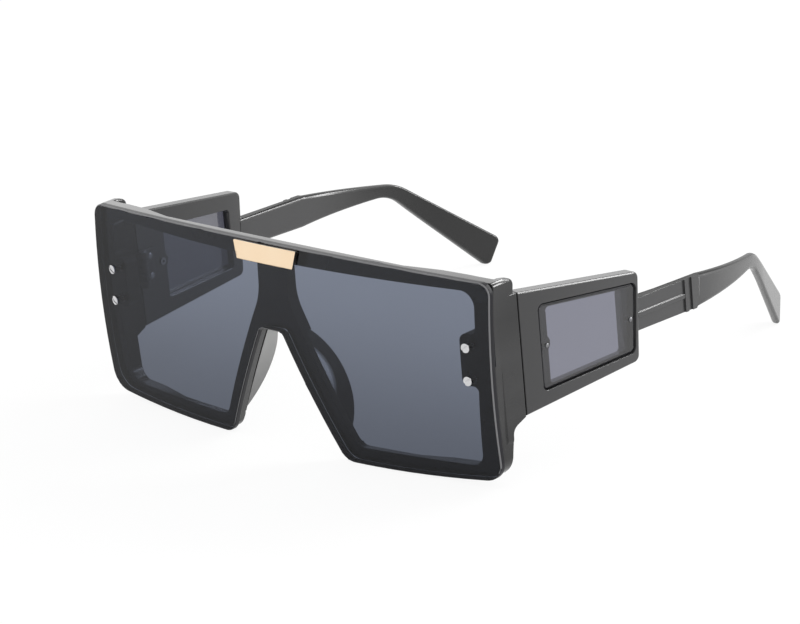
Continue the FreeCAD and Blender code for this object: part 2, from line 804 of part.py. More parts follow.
def recess_corners(inset):
    """Corners of the recess in the panel's outer face, drawn in by an inset."""
    front = f"{RECESS_FRONT} + {inset}"
    rear_high = f"{RECESS_REAR_HIGH} - {inset}"
    rear_low = f"{RECESS_REAR_LOW} - {inset}"
    return [
        (front, f"{recess_low(front)} + {inset}"),
        (rear_low, f"{recess_low(rear_low)} + {inset}"),
        (rear_high, f"{recess_high(rear_high)} - {inset}"),
        (front, f"{recess_high(front)} - {inset}"),
    ]


SIDE_RIVETS = {
    "front": ("border_front + side_rivet_front", "side_rivet_front_height"),
    "rear": ("panel_length - border_rear - side_rivet_rear", "side_rivet_rear_height"),
}


def make_panel():
    """Wide front of the temple, with a recess in its outer face and a window through the recess's floor."""
    body = doc.addObject("PartDesign::Body", "panel")
    sketch = new_sketch(body, "YZ_Plane", "panel_outline")
    rear = [("panel_low_length", "panel_rear_low"), ("panel_length", "panel_rear_high")]
    draw(sketch, [("joint_gap", "joint_low"), *rear, ("joint_gap", "joint_high")])
    pad(body, sketch, "panel_thickness", backwards=True)
    round_corners(body, "X", rear, "panel_radius")
    recess = new_sketch(body, "YZ_Plane", "recess_outline")
    draw(recess, recess_corners("0"))
    pocket(body, recess, "recess_depth")
    round_corners(body, "X", recess_corners("0"), "recess_radius")
    window = new_sketch(body, "YZ_Plane", "window_outline")
    front = "border_front + window_front"
    rear = f"{RECESS_REAR_HIGH} - window_rear"
    corners = [
        (front, f"{recess_low(front)} + window_low"),
        (rear, f"{recess_low(rear)} + window_low"),
        (rear, f"{recess_high(rear)} - window_high"),
        (front, f"{recess_high(front)} - window_high"),
    ]
    draw(window, corners)
    pocket(body, window, "panel_thickness + overrun")
    round_corners(body, "X", corners, "window_radius")
    boss = new_sketch(body, "YZ_Plane", "boss_outline", ("0", "0", "-recess_depth"))
    draw_circle(boss, SIDE_RIVETS["front"], "boss_radius")
    pad(body, boss, "panel_thickness - recess_depth", backwards=True)
    return body


def ear_line(back):
    """Outer face of the bars and the ear end, before the ear turns inwards."""
    return f"-(stem_step + stem_slope * (({back}) - panel_length))"


def arm_root(height):
    """Where the arm starts at a height: half way into the wall between recess and rear edge."""
    return (f"panel_low_length - border_rear / 2 + (panel_length - panel_low_length)"
            f" * (({height}) - panel_rear_low) / (panel_rear_high - panel_rear_low)")


def make_arm():
    """Stem and ear end: a side view and a plan view that meet, with the stem's face sunk round a rib."""
    bend_high = ("ear_bend", "ear_bend_high")
    bend_low = ("ear_inner_bend", "ear_inner_bend_height")
    tip_foot = ("tip_foot_reach", "tip_foot")
    tip_top = ("tip_reach", "tip_reach_height")
    side = prism("arm_side", "YZ_Plane", [
        (arm_root("stem_low"), "stem_low"),
        ("ear_start_low", "ear_start_low_height"),
        bend_low,
        tip_foot,
        tip_top,
        bend_high,
        ("ear_start_high", "ear_start_high_height"),
        (arm_root("stem_high"), "stem_high"),
    ], ACROSS_ALL)
    round_corners(side, "X", [bend_high], "ear_bend_radius")
    round_corners(side, "X", [bend_low], "ear_bend_inner_radius")
    round_corners(side, "X", [tip_top], "tip_radius")
    round_corners(side, "X", [tip_foot], "tip_foot_radius")

    root = "panel_low_length - border_rear"
    bend = (ear_line("ear_wrap_start"), "ear_wrap_start")
    end = "tip_reach + overrun"
    tip = f"{bend[0]} - ear_wrap_slope * ({end} - ear_wrap_start)"
    inner_bend = (f"{bend[0]} - ear_thickness", "ear_wrap_start")
    plan = prism("arm_plan", "XY_Plane", [
        (ear_line(root), root),
        bend,
        (tip, end),
        (f"{tip} - ear_thickness * sqrt(1 + ear_wrap_slope^2)", end),
        inner_bend,
        ("-panel_thickness", root),
    ], OVER_ALL)
    round_corners(plan, "Z", [bend], "ear_wrap_radius + ear_thickness")
    round_corners(plan, "Z", [inner_bend], "ear_wrap_radius")

    sinks = doc.addObject("PartDesign::Body", "stem_sinks")
    sketch = new_sketch(sinks, "XY_Plane", "stem_sinks_outline")
    second_bar = "bar_front + bar_width + bar_gap"
    for start, finish in ((f"{root} - overrun", "bar_front"), ("bar_front + bar_width", second_bar)):
        draw(sketch, [
            (f"{ear_line(start)} - stem_sink", start),
            (f"{ear_line(start)} + overrun", start),
            (f"{ear_line(finish)} + overrun", finish),
            (f"{ear_line(finish)} - stem_sink", finish),
        ])
    pad(sinks, sketch, OVER_ALL, both_ways=True)

    stem_middle = "(stem_high + stem_low) / 2"
    ear_middle = "(ear_start_high_height + ear_start_low_height) / 2"
    rib_side = prism("rib_side", "YZ_Plane", [
        (root, f"{stem_middle} - rib_width / 2"),
        ("ear_start_low", f"{ear_middle} - rib_width / 2"),
        ("ear_start_low", f"{ear_middle} + rib_width / 2"),
        (root, f"{stem_middle} + rib_width / 2"),
    ], ACROSS_ALL)
    rib_plan = prism("rib_plan", "XY_Plane", [
        (f"{ear_line('panel_length')} - overrun", "panel_length"),
        (f"{ear_line('panel_length')} - rib_drop", "panel_length"),
        (f"{ear_line('bar_front')} - rib_drop", "bar_front"),
        (f"{ear_line('bar_front')} - overrun", "bar_front"),
    ], OVER_ALL)
    rib = common("rib", [rib_side, rib_plan])
    return cut("arm", common("arm_blank", [side, plan]), cut("stem_cuts", sinks, rib))


def make_temples():
    """Black temples: panel and arm in one moulding, with holes for the rivets of side lens and hinge."""
    whole = fuse("temple_whole", [make_panel(), make_arm()])
    holes = [leaf_rivet_holes("temple_leaf_holes", "leaf_rivet_back")]
    for place, (back, height) in SIDE_RIVETS.items():
        holes.append(rod(f"temple_rivet_hole_{place}", ("-panel_thickness - overrun", back, height),
                         FreeCAD.Vector(1, 0, 0), "side_rivet_radius + rivet_clearance",
                         "panel_thickness + 2 * overrun"))
    temple = cut("temple", whole, fuse("temple_holes", holes))
    place_at_joint(temple)
    both_sides(temple, "temple")


def make_side_lenses():
    """Tinted plates that lie on the recess's floor, each held by two small rivets."""
    body = doc.addObject("PartDesign::Body", "side_lens")
    sketch = new_sketch(body, "YZ_Plane", "side_lens_outline", ("0", "0", "-recess_depth"))
    corners = recess_corners("side_lens_clearance")
    draw(sketch, corners)
    pad(body, sketch, "side_lens_thickness")
    round_corners(body, "X", corners, "recess_radius - side_lens_clearance")
    holes = new_sketch(body, "YZ_Plane", "side_lens_holes")
    for spot in SIDE_RIVETS.values():
        draw_circle(holes, spot, "side_rivet_radius + rivet_clearance")
    pocket(body, holes, "recess_depth + overrun")
    place_at_joint(body)
    both_sides(body, "side_lens")

    seat = "side_lens_thickness - recess_depth + rivet_clearance"
    flange = "-panel_thickness - rivet_clearance"
    back_end = f"{flange} - side_rivet_flange_height"
    for place, (back, height) in SIDE_RIVETS.items():
        rivet = doc.addObject("PartDesign::Body", f"side_rivet_{place}")
        sketch = new_sketch(rivet, "XY_Plane", f"side_rivet_{place}_profile", ("0", back, height))
        draw(sketch, [
            (f"{seat} + side_rivet_head_height", "0"),
            (f"{seat} + side_rivet_head_height", "side_rivet_head_radius"),
            (seat, "side_rivet_head_radius"),
            (seat, "side_rivet_radius"),
            (flange, "side_rivet_radius"),
            (flange, "side_rivet_flange_radius"),
            (back_end, "side_rivet_flange_radius"),
            (back_end, "side_rivet_bore_radius"),
            (f"{back_end} + side_rivet_bore_depth", "side_rivet_bore_radius"),
            (f"{back_end} + side_rivet_bore_depth", "0"),
        ])
        revolve(rivet, sketch, "H_Axis")
        place_at_joint(rivet)
        rivet.Label = f"side_rivet_left_{place}"
        nodes.extend([rivet, mirror(rivet, f"side_rivet_right_{place}")])


HINGE_AXIS = "-(panel_thickness + hinge_inset)"


def knuckle_low(number):
    """Height of the underside of a knuckle, counted from the middle one."""
    return f"hinge_height + ({number}) * (knuckle_height + knuckle_gap) - knuckle_height / 2"


def make_leaf(name, way, numbers):
    """Hinge leaf: a plate with knuckles on webs; way is 1 towards the temple and -1 towards the front."""
    inner_face = "-panel_thickness - leaf_gap"
    low, high = knuckle_low(KNUCKLES[0]), f"{knuckle_low(KNUCKLES[-1])} + knuckle_height"
    along = ("leaf_relief", "leaf_length") if way > 0 else ("-leaf_length", "-leaf_relief")
    web = ("0", "leaf_relief") if way > 0 else ("-leaf_relief", "0")
    near = (f"{inner_face} - leaf_thickness", along[0], low)
    pieces = [box(f"{name}_plate", near, (inner_face, along[1], high))]
    for number in numbers:
        tag = f"{name}_{number + 2}"
        bottom = knuckle_low(number)
        pieces.append(rod(f"{tag}_knuckle", (HINGE_AXIS, "0", bottom), FreeCAD.Vector(0, 0, 1),
                          "knuckle_radius", "knuckle_height"))
        pieces.append(box(f"{tag}_web", (HINGE_AXIS, web[0], bottom),
                          (inner_face, web[1], f"{bottom} + knuckle_height")))
    bore = rod(f"{name}_bore", (HINGE_AXIS, "0", f"{low} - overrun"), FreeCAD.Vector(0, 0, 1),
               "hinge_screw_radius + hinge_screw_clearance", f"{high} - ({low}) + 2 * overrun")
    holes = leaf_rivet_holes(f"{name}_rivet_holes", "leaf_rivet_back" if way > 0 else "-leaf_rivet_back")
    leaf = cut(name, fuse(f"{name}_whole", pieces), fuse(f"{name}_cuts", [bore, holes]))
    place_at_joint(leaf)
    both_sides(leaf, name)


def make_leaf_rivets(name, back):
    """Pair of flat-headed rivets that hold a leaf."""
    seat = "-panel_thickness - leaf_gap - leaf_thickness - rivet_clearance"
    rivets = []
    for number, (along, up) in enumerate(leaf_rivet_spots(back)):
        head = rod(f"{name}_head_{number}", (f"{seat} - leaf_rivet_head_height", along, up),
                   FreeCAD.Vector(1, 0, 0), "leaf_rivet_head_radius", "leaf_rivet_head_height")
        shank = rod(f"{name}_shank_{number}", (f"{seat} - leaf_rivet_head_height", along, up),
                    FreeCAD.Vector(1, 0, 0), "leaf_rivet_radius",
                    f"-panel_thickness + leaf_rivet_depth - ({seat}) + leaf_rivet_head_height")
        rivets.append(fuse(f"{name}_{number}", [head, shank]))
    pair = group(name, rivets)
    place_at_joint(pair)
    both_sides(pair, name)


def make_hinges():
    """Hinges: a front leaf and a temple leaf each, with their rivets, and the pivot screw from above."""
    make_leaf("hinge_front_leaf", -1, KNUCKLES[::2])
    make_leaf("hinge_temple_leaf", 1, KNUCKLES[1::2])
    make_leaf_rivets("hinge_front_rivets", "-leaf_rivet_back")
    make_leaf_rivets("hinge_temple_rivets", "leaf_rivet_back")
    low = knuckle_low(KNUCKLES[0])
    seat = f"{knuckle_low(KNUCKLES[-1])} + knuckle_height + hinge_screw_clearance"
    up = FreeCAD.Vector(0, 0, 1)
    shank = rod("hinge_screw_shank", (HINGE_AXIS, "0", low), up, "hinge_screw_radius",
                f"{seat} - ({low}) + hinge_screw_head_height")
    head = rod("hinge_screw_head", (HINGE_AXIS, "0", seat), up, "hinge_screw_head_radius",
               "hinge_screw_head_height")
    reach = "hinge_screw_head_radius + overrun"
    top = f"{seat} + hinge_screw_head_height"
    slot = box("hinge_screw_slot",
               (f"{HINGE_AXIS} - {reach}", "-slot_width / 2", f"{top} - slot_depth"),
               (f"{HINGE_AXIS} + {reach}", "slot_width / 2", f"{top} + overrun"))
    screw = cut("hinge_screw", fuse("hinge_screw_blank", [shank, head]), slot)
    place_at_joint(screw)
    both_sides(screw, "hinge_screw")


make_lens()
make_brow_plate()
make_frame()
make_lens_screws()
make_temples()
make_side_lenses()
make_hinges()
doc.recompute()

for item in doc.Objects:
    if "Invalid" in item.State or "Error" in item.State:
        raise RuntimeError(f"{item.Label} failed: {item.State}")
for item in nodes:
    if item.Shape.isNull() or not item.Shape.isValid():
        raise RuntimeError(f"{item.Label} has no valid shape")

os.makedirs("parts", exist_ok=True)
for item in nodes:
    item.Shape.exportStep(f"parts/{item.Label}.step")
    print(f"{item.Label}: {len(item.Shape.Solids)} solid, {item.Shape.Volume:.2f} mm3")
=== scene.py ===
import bmesh
import bpy
import math
from mathutils import Matrix, Quaternion, Vector
from mathutils.bvhtree import BVHTree


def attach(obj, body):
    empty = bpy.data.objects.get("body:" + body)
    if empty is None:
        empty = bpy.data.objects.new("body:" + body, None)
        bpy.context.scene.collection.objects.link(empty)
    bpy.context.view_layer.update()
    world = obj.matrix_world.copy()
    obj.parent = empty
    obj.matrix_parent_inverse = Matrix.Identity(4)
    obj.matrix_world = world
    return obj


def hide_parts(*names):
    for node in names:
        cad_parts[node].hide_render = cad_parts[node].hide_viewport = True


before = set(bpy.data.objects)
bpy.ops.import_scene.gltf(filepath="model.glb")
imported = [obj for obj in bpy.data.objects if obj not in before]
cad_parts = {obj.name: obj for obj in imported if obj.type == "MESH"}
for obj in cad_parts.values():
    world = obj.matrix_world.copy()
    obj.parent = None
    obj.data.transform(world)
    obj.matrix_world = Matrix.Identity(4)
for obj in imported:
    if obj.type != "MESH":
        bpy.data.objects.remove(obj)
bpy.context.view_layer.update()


# Front frame: rims, brow, bridge, nose pads and hinge lugs in one injection moulding of black plastic,
# polished in the mould, with painted shade that darkens it towards its foot. Where the pads touch the nose
# they carry a painted reflection, a pale grey that grows lighter upwards, and on their outer faces a painted
# highlight, a bright metallic crescent beside the rim. The sides that lie behind the lens, at the nose rims
# and the lugs, are a duller, darker copy of the plastic, painted shade.

class Signal:
    """A value in a node tree; arithmetic on it adds Math nodes."""

    def __init__(self, nodes, socket):
        self.nodes = nodes
        self.socket = socket

    def math(self, operation, first, second):
        return self.nodes.node("ShaderNodeMath", {"operation": operation}, {0: first, 1: second})

    def __add__(self, other):
        return self.math("ADD", self, other)

    def __radd__(self, other):
        return self.math("ADD", other, self)

    def __sub__(self, other):
        return self.math("SUBTRACT", self, other)

    def __rsub__(self, other):
        return self.math("SUBTRACT", other, self)

    def __mul__(self, other):
        return self.math("MULTIPLY", self, other)

    def __rmul__(self, other):
        return self.math("MULTIPLY", other, self)

    def __truediv__(self, other):
        return self.math("DIVIDE", self, other)

    def __pow__(self, other):
        return self.math("POWER", self, other)


class Nodes:
    """A node tree, filled node by node."""

    def __init__(self, tree):
        self.tree = tree

    def node(self, kind, settings=None, inputs=None, output=0):
        """Adds a node, sets it up, fills or links its sockets and gives one of its outputs."""
        made = self.tree.nodes.new(kind)
        for name, setting in (settings or {}).items():
            setattr(made, name, setting)
        for name, content in (inputs or {}).items():
            socket = made.inputs[name]
            if isinstance(content, Signal):
                self.tree.links.new(content.socket, socket)
            elif isinstance(content, list):
                for item in content:
                    self.tree.links.new(item.socket, socket)
            elif socket.type == "RGBA":
                socket.default_value = (*content, 1)
            else:
                socket.default_value = content
        if made.outputs:
            return Signal(self, made.outputs[output])


class Finish(Nodes):
    """A procedural material."""

    def __init__(self, name):
        self.material = bpy.data.materials.new(name)
        self.material.use_nodes = True
        super().__init__(self.material.node_tree)
        self.tree.nodes.clear()

    def spot(self):
        """Where a point of the piece is, in metres in the object's frame."""
        return self.node("ShaderNodeTexCoord", output="Object")

    def coordinate(self, axis):
        """One of the coordinates of that point."""
        return self.node("ShaderNodeSeparateXYZ", {}, {"Vector": self.spot()}, output=axis)

    def cloud(self, scale, detail=3.0, stretch=(1, 1, 1)):
        """Soft noise between 0 and 1, stretched along the axes."""
        where = self.node("ShaderNodeMapping", {}, {"Vector": self.spot(), "Scale": stretch})
        return self.node("ShaderNodeTexNoise", {}, {"Vector": where, "Scale": scale, "Detail": detail})

    def between(self, share, first, second):
        """The colour part of the way from the first to the second."""
        return self.node("ShaderNodeMix", {"data_type": "RGBA"}, {0: share, 6: first, 7: second}, output=2)

    def along(self, axis, start, end):
        """Rises smoothly from 0 to 1 between two places along an axis."""
        return self.node("ShaderNodeMapRange", {"interpolation_type": "SMOOTHSTEP"},
                         {"Value": self.coordinate(axis), "From Min": start, "From Max": end})

    def flow_marks(self):
        """Long faint clouds that the flow of the plastic leaves in a moulding."""
        return self.cloud(60, 4, stretch=(1, 0.4, 1))

    def fine_marks(self):
        """The small marks of handling."""
        return self.cloud(900, 4)

    def relief(self, height, strength):
        """Normals of a relief that is a hundredth of a millimetre deep."""
        return self.node("ShaderNodeBump", {}, {"Height": height, "Strength": strength, "Distance": 0.00001})

    def show(self, shader):
        self.node("ShaderNodeOutputMaterial", {}, {"Surface": shader})
        return self.material


def black_plastic(name, colour, lighter, gloss, shine=0.5, shaded_foot=0.0001):
    """A black moulding: flow marks in its colour, handling marks in its gloss, painted shade darkest at its
    foot.
    """
    finish = Finish(name)
    flow = finish.flow_marks()
    marks = finish.fine_marks()
    above = finish.along("Z", 0.0, shaded_foot)
    return finish.show(finish.node("ShaderNodeBsdfPrincipled", {}, {
        "Base Color": finish.between(above * flow, colour, lighter),
        "Roughness": gloss + 0.08 * flow + 0.05 * marks,
        "Specular IOR Level": shine,
        "Normal": finish.relief(marks, 0.06),
    }))


def applied(piece):
    """Bakes a piece's modifiers into its mesh."""
    made = bpy.data.meshes.new_from_object(piece.evaluated_get(bpy.context.evaluated_depsgraph_get()))
    piece.modifiers.clear()
    piece.data = made
    made.name = piece.name


def eased_copy(name, node, ease, finishes, steps=3, flatter_than=0.08, choose=None, rounded_finish=-1):
    """Copy of a solid with each sharp edge rounded by as much as ease gives for it, in metres.
    Points that the rounding throws far off the solid are put back on it."""
    widest = 0.002
    sharp = math.radians(32)
    shape = bmesh.new()
    shape.from_mesh(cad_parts[node].data)
    bmesh.ops.remove_doubles(shape, verts=shape.verts, dist=1e-6)
    bmesh.ops.dissolve_limit(shape, angle_limit=math.radians(flatter_than),
                             verts=shape.verts, edges=shape.edges)
    solid = BVHTree.FromBMesh(shape)
    weight = shape.edges.layers.float.new("bevel_weight_edge")
    for edge in shape.edges:
        if edge.calc_face_angle() > sharp:
            edge[weight] = ease(edge) / widest
            edge.smooth = edge[weight] > 0
    furthest = 0.45 * widest * max(edge[weight] for edge in shape.edges)
    for face in shape.faces:
        face.smooth = True
        face.material_index = choose(face) if choose else 0
    mesh = bpy.data.meshes.new(name)
    for finish in finishes:
        mesh.materials.append(finish)
    shape.to_mesh(mesh)
    shape.free()
    mesh.attributes.remove(mesh.attributes["custom_normal"])
    piece = bpy.data.objects.new(name, mesh)
    bpy.context.scene.collection.objects.link(piece)
    rounding = piece.modifiers.new("rounding", "BEVEL")
    rounding.limit_method = "WEIGHT"
    rounding.width = widest
    rounding.segments = steps
    rounding.use_clamp_overlap = False
    rounding.loop_slide = False
    rounding.material = rounded_finish
    applied(piece)
    for vert in piece.data.vertices:
        surface, _, _, distance = solid.find_nearest(vert.co)
        if distance > furthest:
            vert.co = surface
    shading = piece.modifiers.new("shading", "WEIGHTED_NORMAL")
    shading.keep_sharp = True
    shading.weight = 100
    applied(piece)
    return piece


def middle(edge):
    return (edge.verts[0].co + edge.verts[1].co) / 2


rim_back = -0.066
lens_back = -0.0697


def frame_ease(edge):
    """Softer at the top corners of the end walls, crisp in front and where the lugs run into the walls."""
    crisp, plain, soft = 0.00008, 0.00035, 0.0006
    wall_inside, wall_front, wall_corner = 0.0695, -0.0645, 0.0531
    lug_top, lug_foot = 0.0515, 0.0205
    place = middle(edge)
    if any(face.normal.y < -0.9 for face in edge.link_faces) and place.y < rim_back:
        return crisp
    at_end = abs(place.x) > wall_inside and place.y > wall_front
    if at_end and place.z > wall_corner:
        return soft
    if at_end and (place.z > lug_top or place.z < lug_foot):
        return crisp
    return plain


def frame_finish(face):
    """1 for the faces of the pads that touch the nose, 2 for their others, 3 inside the nose rims and on the
    inner sides of the hinge lugs, 0 for the rest."""
    sideways, pad_top = 0.35, 0.038
    place = face.calc_center_median()
    lean = face.normal.x * (1 if place.x > 0 else -1)
    by_nose = abs(place.x) < 0.034
    by_lug = abs(place.x) > 0.06 and 0.018 < place.z < 0.052
    behind = place.y > lens_back
    if behind and by_nose and place.z < pad_top and abs(lean) > sideways:
        return 1 if lean < 0 else 2
    if by_nose and lean > sideways and place.y < rim_back:
        return 3
    return 3 if behind and by_lug and lean < sideways and face.normal.y < 0.5 else 0


# Painted shade: the frame's colour darkens below 24 mm, towards its foot.
frame_black = black_plastic("frame_black", (0.003, 0.003, 0.003), (0.033, 0.033, 0.034), 0.1, shaded_foot=0.024)
# Painted shade: a darker, duller copy of the plastic inside the nose rims and on the inner sides of the lugs.
rim_dull = black_plastic("rim_dull", (0.006, 0.006, 0.006), (0.010, 0.010, 0.010), 0.5, shine=0.1)

# Painted reflection: the nose sides of the pads are a pale grey that grows lighter upwards.
pad_sheen = Finish("pad_satin")
grain = pad_sheen.fine_marks()
sheen_rise = 0.85 * pad_sheen.along("Z", 0.006, 0.034) + 0.15 * grain
pad_satin = pad_sheen.show(pad_sheen.node("ShaderNodeBsdfPrincipled", {}, {
    "Base Color": pad_sheen.between(sheen_rise, (0.10, 0.10, 0.10), (0.30, 0.30, 0.295)),
    "Roughness": 0.4 + 0.1 * grain,
    "Normal": pad_sheen.relief(grain, 0.06),
}))

# Painted highlight: a bright metallic crescent beside the rim on the outer face of each pad.
pad_highlight = Finish("pad_polish")
swirl = pad_highlight.cloud(500, 3)
crescent_root = -0.0703
crescent_middle = 0.0228
crescent_width = 0.003
crescent_bow = 53
depth = pad_highlight.coordinate("Y") - crescent_root
climb = pad_highlight.coordinate("Z") - crescent_middle
highlight_crescent = pad_highlight.node("ShaderNodeMapRange", {}, {
    "Value": crescent_width - crescent_bow * climb ** 2 - depth, "From Min": -0.0006, "From Max": 0.0007})
pad_polish = pad_highlight.show(pad_highlight.node("ShaderNodeBsdfPrincipled", {}, {
    "Base Color": pad_highlight.between(highlight_crescent, (0.014, 0.014, 0.015), (0.95, 0.95, 0.97)),
    "Metallic": 0.9 * highlight_crescent,
    "Roughness": 0.16 + 0.06 * swirl,
}))
front_moulding = eased_copy("front_moulding", "front_frame", frame_ease,
                            [frame_black, pad_satin, pad_polish, rim_dull], choose=frame_finish)
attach(front_moulding, "front")
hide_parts("front_frame")


# Shield lens: one sheet of grey-blue tinted plastic, curved both ways and cut to the outline of the whole
# front. Its tint is painted deeper towards the bottom as shade, and its reflection painted stronger towards
# the top; the cut edge looks nearly black, and the polished bevels facing up and forward carry a painted
# highlight, a paler grey.

lens_height = 0.058
tint = Finish("lens_tint")
height = tint.coordinate("Z")
# Painted shade: the tint is mixed in more strongly towards the bottom of the lens.
shade_deepening = tint.node("ShaderNodeMapRange", {"interpolation_type": "SMOOTHSTEP"}, {
    "Value": height, "From Min": 0.0, "From Max": lens_height, "To Min": 0.42, "To Max": 0.215})
haze = tint.cloud(45, 3)
tinted = tint.node("ShaderNodeBsdfPrincipled", {}, {
    "Base Color": tint.between(haze, (0.010, 0.011, 0.014), (0.016, 0.017, 0.021)),
    "Roughness": 0.04 + 0.05 * haze,
    "Specular IOR Level": 0.2,
})
clear = tint.node("ShaderNodeBsdfTransparent", {}, {"Color": (0.518, 0.552, 0.626)})
sheet = tint.node("ShaderNodeMixShader", {}, {0: shade_deepening + 0.02 * haze, 1: clear, 2: tinted})
facing = tint.node("ShaderNodeLayerWeight", {}, {"Blend": 0.5}, output="Facing")
coating = tint.node("ShaderNodeBsdfGlossy", {}, {"Color": (1, 1, 1), "Roughness": 0.05})
# Painted reflection: the coating's share rises from the bottom of the lens to its top.
glare = tint.node("ShaderNodeMapRange", {}, {
    "Value": height, "From Min": 0.0, "From Max": lens_height, "To Min": 0.009, "To Max": 0.05})
lens_tint = tint.show(tint.node("ShaderNodeMixShader", {}, {0: glare * facing ** 0.5, 1: sheet, 2: coating}))
# Dark cut edges of the lenses; on the side lenses' broad bevels and on the shield's bevels facing back or
# down this dark colour is painted shade.
lens_wall = black_plastic("lens_wall", (0.010, 0.010, 0.012), (0.016, 0.016, 0.019), 0.3, shine=0.15)
# Painted highlight: the polished bevels of the shield are a paler grey.
lens_bevel = black_plastic("lens_bevel", (0.14, 0.14, 0.145), (0.18, 0.18, 0.185), 0.2, shine=0.3)


def lens_ease(edge):
    """A fine bevel in front, a wider one behind, widest down the sides."""
    if not any(face.normal.y > 0.75 for face in edge.link_faces):
        return 0.0003
    upright = abs(edge.verts[0].co.z - edge.verts[1].co.z) > 0.6 * edge.calc_length()
    return 0.0006 if upright else 0.00045


def sheet_finish(face):
    """0 for the front and back of an upright sheet, 1 for its cut edges."""
    return 0 if abs(face.normal.y) > 0.75 else 1


shield = eased_copy("shield", "shield_lens", lens_ease, [lens_tint, lens_wall, lens_bevel],
                    flatter_than=0.02, choose=sheet_finish, rounded_finish=2)
# The bevels that face back or down lose the painted highlight and take the dark edge colour, as painted
# shade.
for face in shield.data.polygons:
    behind_or_below = face.normal.y > 0 or face.normal.z < -0.25
    if face.material_index == 2 and behind_or_below:
        face.material_index = 1
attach(shield, "front")
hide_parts("shield_lens")


# Lens screws: four bright nickel-plated steel screws with domed, slotted heads. They go through the lens and
# the frame's tabs, and round nuts sunk in the back of the frame hold them.

class Template(Nodes):
    """A geometry node tree for a small turned part that is put at each of a set of points."""

    def __init__(self, name, sizes):
        super().__init__(bpy.data.node_groups.new(name, "GeometryNodeTree"))
        sockets = self.tree.interface
        sockets.new_socket("Parts", in_out="OUTPUT", socket_type="NodeSocketGeometry")
        sockets.new_socket("Spots", in_out="INPUT", socket_type="NodeSocketGeometry")
        sockets.new_socket("Finish", in_out="INPUT", socket_type="NodeSocketMaterial")
        for size in sizes:
            sockets.new_socket(size, in_out="INPUT", socket_type="NodeSocketFloat")
        self.given = self.tree.nodes.new("NodeGroupInput")

    def size(self, name):
        return Signal(self, self.given.outputs[name])

    def raised(self, shape, height):
        """A shape moved along the part's axis."""
        shift = self.node("ShaderNodeCombineXYZ", {}, {"Z": height})
        return self.node("GeometryNodeTransform", {}, {"Geometry": shape, "Translation": shift})

    def turned(self, radius, depth, rings=1):
        return self.node("GeometryNodeMeshCylinder", {"fill_type": "TRIANGLE_FAN"}, {
            "Vertices": 40, "Fill Segments": rings, "Radius": radius, "Depth": depth}, output="Mesh")

    def domed_head(self, radius, depth):
        """A head that stands on the seat: half its height is its side, half its dome."""
        side = depth / 2
        body = self.turned(radius, side, rings=7)
        top = Signal(self, body.socket.node.outputs["Top"])
        place = self.node("GeometryNodeInputPosition")
        flat = self.node("ShaderNodeVectorMath", {"operation": "MULTIPLY"}, {0: place, 1: (1, 1, 0)})
        out = self.node("ShaderNodeVectorMath", {"operation": "LENGTH"}, {0: flat}, output="Value")
        rise = self.node("ShaderNodeCombineXYZ", {}, {"Z": side * (1 - (out / radius) ** 2)})
        domed = self.node("GeometryNodeSetPosition", {}, {"Geometry": body, "Selection": top, "Offset": rise})
        return self.raised(domed, side / 2)

    def without(self, shape, tool):
        return self.node("GeometryNodeMeshBoolean", {"operation": "DIFFERENCE", "solver": "EXACT"},
                         {"Mesh 1": shape, "Mesh 2": [tool]})

    def place(self, shapes):
        """Puts the part at every spot, turned as the spot says, as one plain mesh with its finish."""
        part = self.node("GeometryNodeJoinGeometry", {}, {"Geometry": shapes})
        turn = self.node("GeometryNodeInputNamedAttribute", {"data_type": "FLOAT_VECTOR"}, {"Name": "turn"})
        rotation = self.node("FunctionNodeEulerToRotation", {}, {"Euler": turn})
        put = self.node("GeometryNodeInstanceOnPoints", {},
                        {"Points": self.size("Spots"), "Instance": part, "Rotation": rotation})
        real = self.node("GeometryNodeRealizeInstances", {}, {"Geometry": put})
        done = self.node("GeometryNodeSetMaterial", {}, {"Geometry": real, "Material": self.size("Finish")})
        self.node("NodeGroupOutput", {}, {"Parts": done})
        return self.tree


def set_out(name, tree, finish, sizes, spots):
    """Makes one mesh of a turned part at several spots, each a place, an outward axis and a turn about it."""
    mesh = bpy.data.meshes.new(name)
    mesh.from_pydata([spot[0] for spot in spots], [], [])
    turns = mesh.attributes.new("turn", "FLOAT_VECTOR", "POINT")
    for number, (_, axis, spin) in enumerate(spots):
        turn = Vector(axis).to_track_quat("Z", "Y") @ Quaternion((0, 0, 1), spin)
        turns.data[number].vector = turn.to_euler()
    piece = bpy.data.objects.new(name, mesh)
    bpy.context.scene.collection.objects.link(piece)
    maker = piece.modifiers.new("parts", "NODES")
    maker.node_group = tree
    for socket in tree.interface.items_tree:
        if socket.in_out == "INPUT" and socket.name in sizes:
            maker[socket.identifier] = sizes[socket.name]
        elif socket.in_out == "INPUT" and socket.name == "Finish":
            maker[socket.identifier] = finish
    applied(piece)
    piece.data.shade_smooth()
    piece.data.set_sharp_from_angle(angle=math.radians(35))
    return piece


def steel(name, colour, duller, gloss):
    """Turned and plated steel: fine turning marks in the gloss, dulled in patches by handling."""
    finish = Finish(name)
    turning = finish.cloud(2600, 3, stretch=(1, 1, 4))
    patches = finish.cloud(420, 3)
    return finish.show(finish.node("ShaderNodeBsdfPrincipled", {}, {
        "Base Color": finish.between(patches, colour, duller),
        "Metallic": 1.0,
        "Roughness": gloss + 0.10 * turning + 0.08 * patches,
        "Normal": finish.relief(turning, 0.10),
    }))


